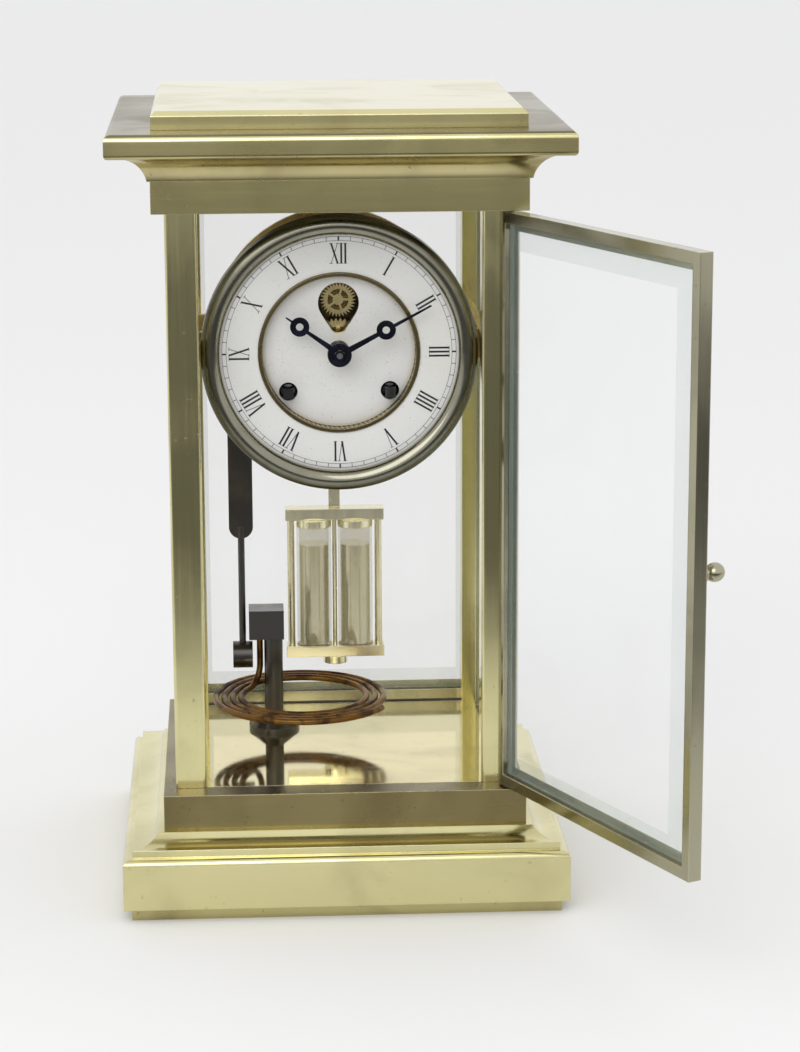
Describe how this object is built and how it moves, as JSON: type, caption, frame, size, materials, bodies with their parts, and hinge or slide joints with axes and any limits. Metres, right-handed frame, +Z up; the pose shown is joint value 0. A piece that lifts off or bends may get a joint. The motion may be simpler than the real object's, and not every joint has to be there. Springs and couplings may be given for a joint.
{
  "type": "mantel clock",
  "caption": "Square brass mantel clock with bevelled glass sides and doors, a white dial with a visible escapement, a mercury jar pendulum and a coil gong.",
  "frame": {"origin": "centre of the base's underside, on the surface that the clock stands on", "axes": "+Z up, +Y to the back, +X to the right as seen facing the dial"},
  "size_m": [0.1864, 0.2237, 0.267],
  "materials": {
    "case_brass": "polished, a little dulled by age",
    "floor_brass": "mirror polish",
    "movement_brass": "satin",
    "pendulum_brass": "polished",
    "steel": "polished",
    "blue_steel": "dark blued",
    "black_steel": "black lacquer",
    "gong_steel": "browned",
    "dial_enamel": "white enamel",
    "glass": "clear, bevelled",
    "mercury": "liquid metal"
  },
  "bodies": {
    "case": {"base_plinth": "case_brass", "lower_rail": "case_brass", "floor_plate": "floor_brass", "upper_rail": "case_brass", "cornice": "case_brass", "cornice_cap": "case_brass", "post_front_left": "case_brass", "post_front_right": "case_brass", "post_rear_left": "case_brass", "post_rear_right": "case_brass", "post_nuts": "steel", "side_glass_left": "glass", "side_glass_right": "glass", "hinge_pins": "steel", "dial_bezel": "case_brass", "dial_ring": "dial_enamel", "dial_centre": "dial_enamel", "dial_plate": "movement_brass", "front_plate": "movement_brass", "rear_plate": "movement_brass", "plate_pillars": "movement_brass", "plate_nuts": "steel", "movement_carriers": "movement_brass", "carrier_screws": "steel", "escape_bridge": "movement_brass", "suspension_cock": "movement_brass", "gong_coil": "gong_steel", "gong_stand": "black_steel"},
    "front_door": {"front_door_frame": "case_brass", "front_door_glass": "glass", "front_door_knob": "case_brass"},
    "back_door": {"back_door_frame": "case_brass", "back_door_glass": "glass", "back_door_knob": "case_brass"},
    "going_barrel": {"going_barrel": "movement_brass"},
    "going_winder": {"going_winding_arbor": "steel"},
    "strike_barrel": {"strike_barrel": "movement_brass"},
    "strike_winder": {"strike_winding_arbor": "steel"},
    "intermediate_wheel": {"intermediate_wheel": "movement_brass"},
    "centre_wheel": {"centre_wheel": "movement_brass"},
    "third_wheel": {"third_wheel": "movement_brass"},
    "escape_wheel": {"escape_wheel": "movement_brass"},
    "minute_hand": {"cannon_pinion": "steel", "minute_hand": "blue_steel", "hand_nut": "blue_steel"},
    "minute_wheel": {"minute_wheel": "movement_brass"},
    "hour_hand": {"hour_wheel": "movement_brass", "hour_hand": "blue_steel"},
    "pin_wheel": {"pin_wheel": "movement_brass"},
    "fly": {"fly": "movement_brass"},
    "anchor": {"anchor": "steel"},
    "pendulum": {"suspension_spring": "steel", "pendulum_rod": "steel", "jar_frame": "pendulum_brass", "jars": "glass", "mercury": "mercury", "rating_nut": "pendulum_brass"},
    "hammer": {"hammer": "black_steel", "hammer_head": "black_steel"}
  },
  "joints": [
    {"name": "front_door_hinge", "type": "hinge", "parent": "case", "child": "front_door", "pos_m": [0.0545, -0.0517, 0], "axis": [0, 0, 1], "range_deg": [-116, 55]},
    {"name": "back_door_hinge", "type": "hinge", "parent": "case", "child": "back_door", "pos_m": [-0.0545, 0.0517, 0], "axis": [0, 0, 1], "range_deg": [0, 171]},
    {"name": "minute_hand_turn", "type": "hinge", "parent": "case", "child": "minute_hand", "pos_m": [0, 0, 0.1843], "axis": [0, 1, 0], "continuous": true},
    {"name": "minute_wheel_turn", "type": "hinge", "parent": "case", "child": "minute_wheel", "pos_m": [-0.01159, 0, 0.18741], "axis": [0, 1, 0], "continuous": true},
    {"name": "hour_hand_turn", "type": "hinge", "parent": "case", "child": "hour_hand", "pos_m": [0, 0, 0.1843], "axis": [0, 1, 0], "continuous": true},
    {"name": "third_wheel_turn", "type": "hinge", "parent": "case", "child": "third_wheel", "pos_m": [-0.01332, 0, 0.19383], "axis": [0, 1, 0], "continuous": true},
    {"name": "centre_wheel_turn", "type": "hinge", "parent": "case", "child": "centre_wheel", "pos_m": [0, 0, 0.1843], "axis": [0, 1, 0], "continuous": true},
    {"name": "intermediate_wheel_turn", "type": "hinge", "parent": "case", "child": "intermediate_wheel", "pos_m": [0.01619, 0, 0.18878], "axis": [0, 1, 0], "continuous": true},
    {"name": "going_barrel_turn", "type": "hinge", "parent": "case", "child": "going_barrel", "pos_m": [0.017, 0, 0.1708], "axis": [0, 1, 0], "continuous": true},
    {"name": "escape_wheel_turn", "type": "hinge", "parent": "case", "child": "escape_wheel", "pos_m": [0, 0, 0.2011], "axis": [0, 1, 0], "continuous": true},
    {"name": "pin_wheel_turn", "type": "hinge", "parent": "case", "child": "pin_wheel", "pos_m": [-0.03259, 0, 0.1798], "axis": [0, 1, 0], "continuous": true},
    {"name": "strike_barrel_turn", "type": "hinge", "parent": "case", "child": "strike_barrel", "pos_m": [-0.017, 0, 0.1708], "axis": [0, 1, 0], "continuous": true},
    {"name": "fly_turn", "type": "hinge", "parent": "case", "child": "fly", "pos_m": [-0.03049, 0, 0.18762], "axis": [0, 1, 0], "continuous": true},
    {"name": "going_winding", "type": "hinge", "parent": "case", "child": "going_winder", "pos_m": [0.017, 0, 0.1708], "axis": [0, 1, 0], "continuous": true},
    {"name": "strike_winding", "type": "hinge", "parent": "case", "child": "strike_winder", "pos_m": [-0.017, 0, 0.1708], "axis": [0, 1, 0], "continuous": true},
    {"name": "pendulum_swing", "type": "hinge", "parent": "case", "child": "pendulum", "pos_m": [0, 0.0345, 0.2096], "axis": [0, 1, 0], "range_deg": [-3, 3]},
    {"name": "anchor_rock", "type": "hinge", "parent": "case", "child": "anchor", "pos_m": [0, 0, 0.2096], "axis": [0, 1, 0], "range_deg": [-3.2, 3.2]},
    {"name": "hammer_lift", "type": "hinge", "parent": "case", "child": "hammer", "pos_m": [-0.0335, 0, 0.1638], "axis": [0, 1, 0], "range_deg": [0, 6]}
  ],
  "couplings": [
    {"joint": "minute_wheel_turn", "follows": "minute_hand_turn", "ratio": -0.33333},
    {"joint": "hour_hand_turn", "follows": "minute_hand_turn", "ratio": 0.083333},
    {"joint": "centre_wheel_turn", "follows": "third_wheel_turn", "ratio": -0.083333},
    {"joint": "intermediate_wheel_turn", "follows": "third_wheel_turn", "ratio": 0.016667},
    {"joint": "going_barrel_turn", "follows": "third_wheel_turn", "ratio": -0.0020833},
    {"joint": "escape_wheel_turn", "follows": "third_wheel_turn", "ratio": -14.333},
    {"joint": "strike_barrel_turn", "follows": "pin_wheel_turn", "ratio": -0.125},
    {"joint": "fly_turn", "follows": "pin_wheel_turn", "ratio": -8},
    {"joint": "anchor_rock", "follows": "pendulum_swing", "ratio": 1}
  ]
}
